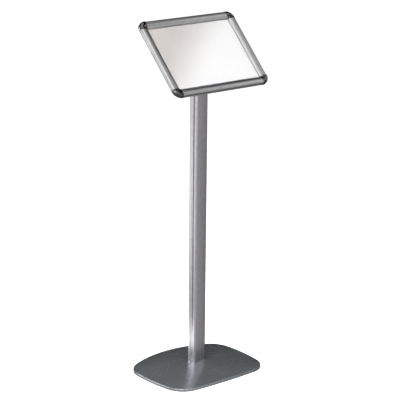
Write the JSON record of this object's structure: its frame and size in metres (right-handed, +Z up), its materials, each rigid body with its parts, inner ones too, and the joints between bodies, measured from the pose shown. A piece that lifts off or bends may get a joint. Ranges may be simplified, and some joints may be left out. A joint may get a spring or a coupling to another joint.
{
  "type": "sign stand",
  "caption": "Free-standing information stand with a domed steel foot, an aluminium post and a tilted A4 landscape snap frame whose edge rails open to change the poster.",
  "frame": {"origin": "on the floor at the centre of the foot's plan", "axes": "+Z up; the stand faces -Y; +X to the right seen from the front is the viewer's right"},
  "size_m": [0.341, 0.273, 0.9946],
  "materials": {
    "foot_paint": "semi-gloss blue-grey paint",
    "anodised": "satin silver anodised",
    "rail_anodised": "satin silver anodised",
    "base_anodised": "satin silver anodised",
    "chrome": "polished chrome plate",
    "zinc_plate": "bright zinc plate",
    "plain_steel": "plain cut steel",
    "galvanised": "galvanised sheet",
    "cast_bracket": "grey powder coat",
    "black_plastic": "black moulded plastic",
    "rubber": "matt black rubber",
    "spring_steel": "spring steel",
    "paper": "blank white paper",
    "clear_sheet": "clear anti-glare plastic film"
  },
  "bodies": {
    "stand": {"base_cover": "foot_paint", "ballast_plate": "plain_steel", "mounting_block": "plain_steel", "rubber_foot_front_right": "rubber", "rubber_foot_back_right": "rubber", "rubber_foot_back_left": "rubber", "rubber_foot_front_left": "rubber", "base_screw_front_right": "zinc_plate", "base_screw_back_right": "zinc_plate", "base_screw_back_left": "zinc_plate", "base_screw_front_left": "zinc_plate", "post": "anodised", "head_bracket": "cast_bracket", "post_screw_upper": "zinc_plate", "post_screw_lower": "zinc_plate", "base_rail_bottom": "base_anodised", "base_rail_right": "base_anodised", "base_rail_top": "base_anodised", "base_rail_left": "base_anodised", "spring_bottom_1": "spring_steel", "spring_bottom_2": "spring_steel", "spring_right_1": "spring_steel", "spring_right_2": "spring_steel", "spring_top_1": "spring_steel", "spring_top_2": "spring_steel", "spring_left_1": "spring_steel", "spring_left_2": "spring_steel", "corner_cap_bottom_right": "chrome", "corner_cap_top_right": "chrome", "corner_cap_top_left": "chrome", "corner_cap_bottom_left": "chrome", "corner_connector_bottom_right": "black_plastic", "corner_connector_top_right": "black_plastic", "corner_connector_top_left": "black_plastic", "corner_connector_bottom_left": "black_plastic", "cap_screw_bottom_right": "zinc_plate", "cap_screw_top_right": "zinc_plate", "cap_screw_top_left": "zinc_plate", "cap_screw_bottom_left": "zinc_plate", "back_panel": "galvanised", "poster": "paper", "cover_sheet": "clear_sheet", "bracket_screw_lower_right": "zinc_plate", "bracket_screw_upper_right": "zinc_plate", "bracket_screw_upper_left": "zinc_plate", "bracket_screw_lower_left": "zinc_plate", "bracket_nut_lower_right": "zinc_plate", "bracket_nut_upper_right": "zinc_plate", "bracket_nut_upper_left": "zinc_plate", "bracket_nut_lower_left": "zinc_plate"},
    "rail_bottom": {"snap_rail_bottom": "rail_anodised"},
    "rail_right": {"snap_rail_right": "rail_anodised"},
    "rail_top": {"snap_rail_top": "rail_anodised"},
    "rail_left": {"snap_rail_left": "rail_anodised"}
  },
  "joints": [
    {"name": "bottom_rail_hinge", "type": "hinge", "parent": "stand", "child": "rail_bottom", "pos_m": [0, -0.10719, 0.81968], "axis": [1, 0, 0], "range_deg": [0, 95]},
    {"name": "right_rail_hinge", "type": "hinge", "parent": "stand", "child": "rail_right", "pos_m": [0.1609, -0.02564, 0.90413], "axis": [0, 0.6947, 0.7193], "range_deg": [0, 95]},
    {"name": "top_rail_hinge", "type": "hinge", "parent": "stand", "child": "rail_top", "pos_m": [0, 0.05592, 0.98858], "axis": [-1, 0, 0], "range_deg": [0, 95]},
    {"name": "left_rail_hinge", "type": "hinge", "parent": "stand", "child": "rail_left", "pos_m": [-0.1609, -0.02564, 0.90413], "axis": [0, -0.6947, -0.7193], "range_deg": [0, 95]}
  ]
}
